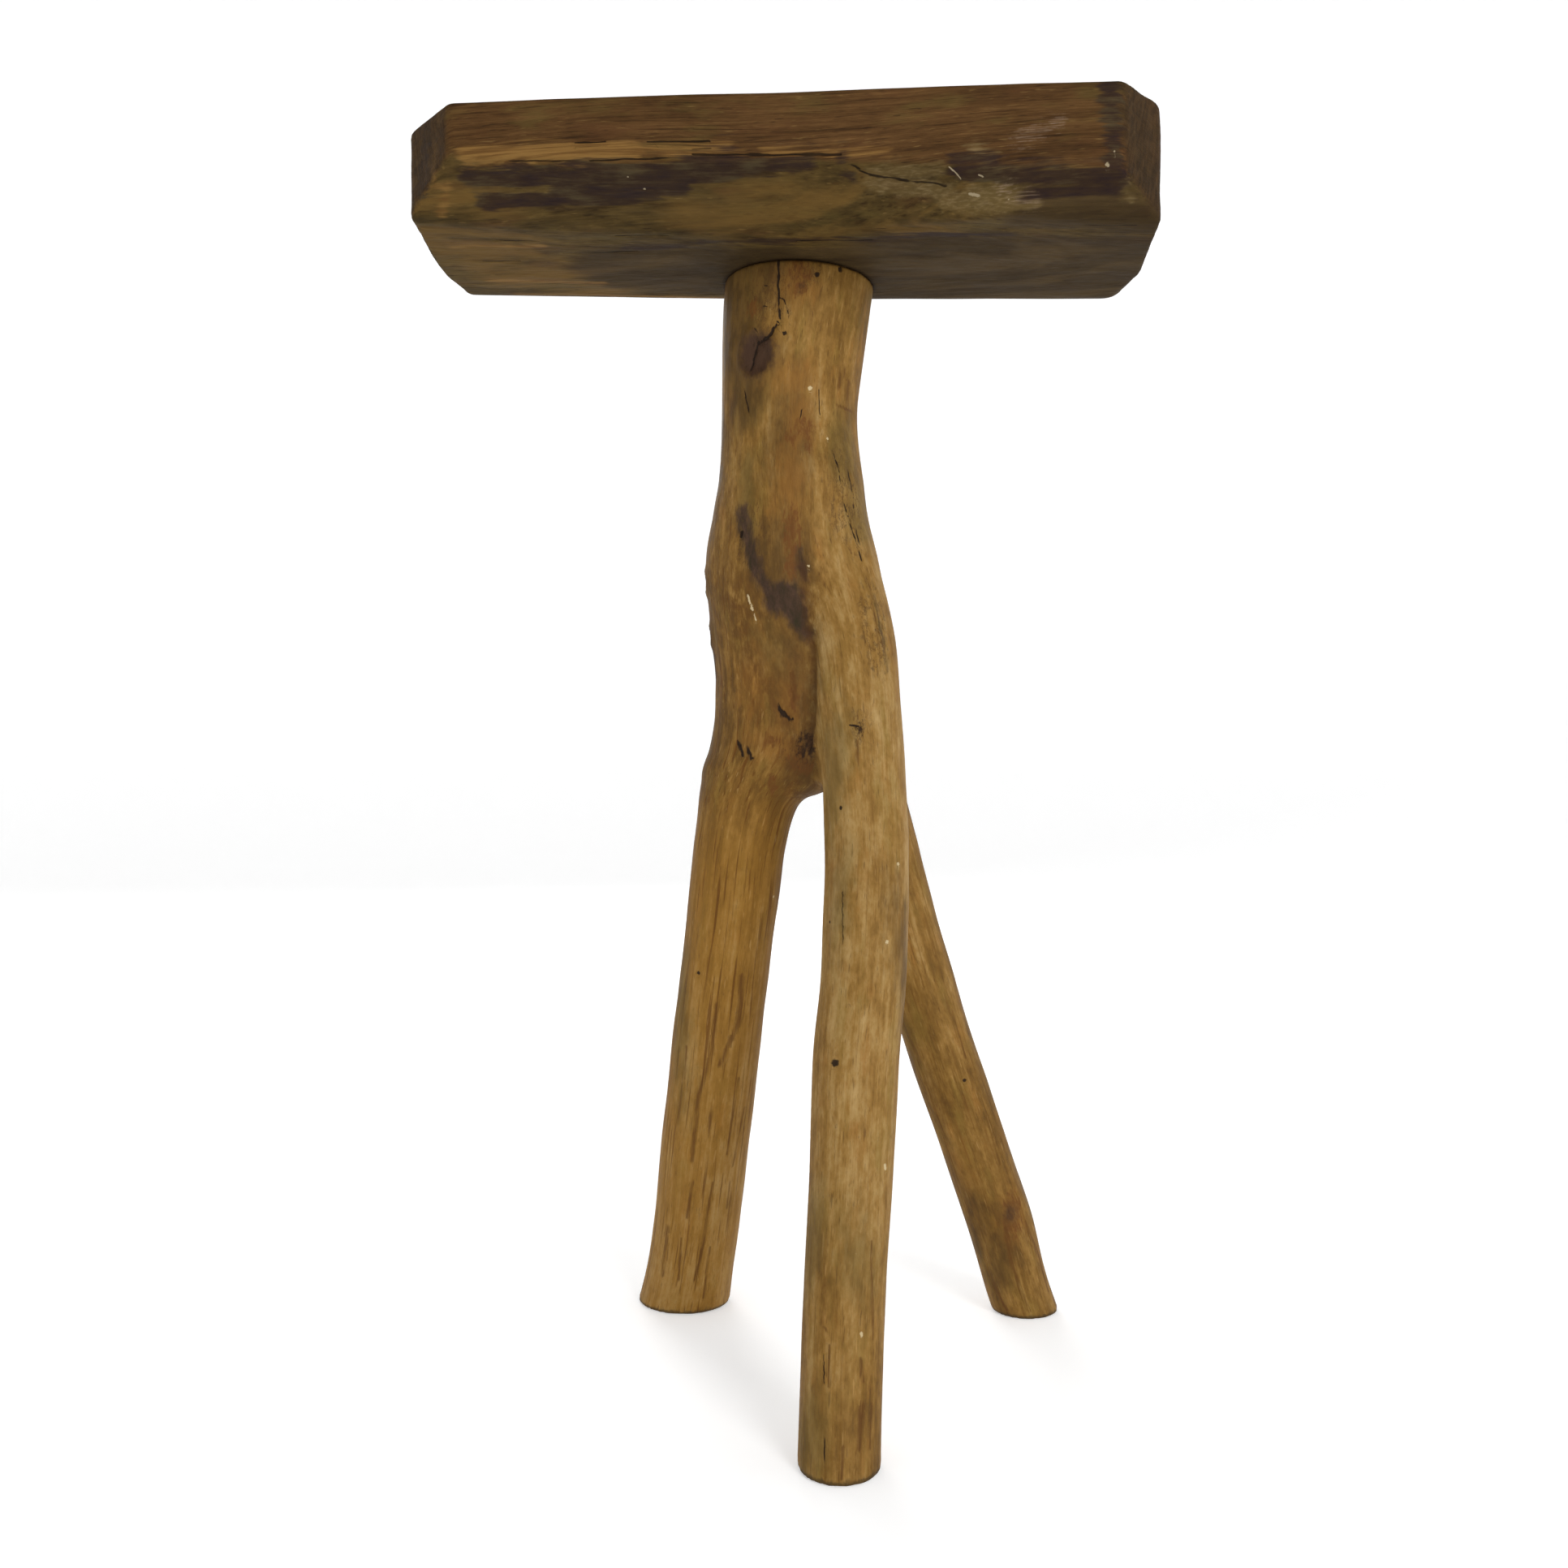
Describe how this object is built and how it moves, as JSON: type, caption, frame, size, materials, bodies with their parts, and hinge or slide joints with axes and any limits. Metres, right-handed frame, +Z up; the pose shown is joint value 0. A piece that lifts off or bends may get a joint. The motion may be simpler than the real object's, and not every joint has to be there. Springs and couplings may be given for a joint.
{
  "type": "forked branch tripod stool",
  "caption": "Rustic stool: a thick hewn plank seat on an upturned forked branch whose prongs are the legs, joined by a wedged round tenon.",
  "frame": {"origin": "on the floor, at the middle of the stool's bounding box", "axes": "+Z up, +X along the seat to the right as the picture shows it, +Y from the front leg to the back"},
  "size_m": [0.27, 0.193, 0.46],
  "materials": {
    "seat_wood": "old waxed wood, hewn, dark and stained",
    "branch_wood": "barked branch, worn smooth and waxed",
    "wedge_wood": "old waxed wood"
  },
  "bodies": {
    "root": {"seat_slab": "seat_wood", "forked_trunk": "branch_wood", "tenon_wedge": "wedge_wood"}
  },
  "joints": []
}
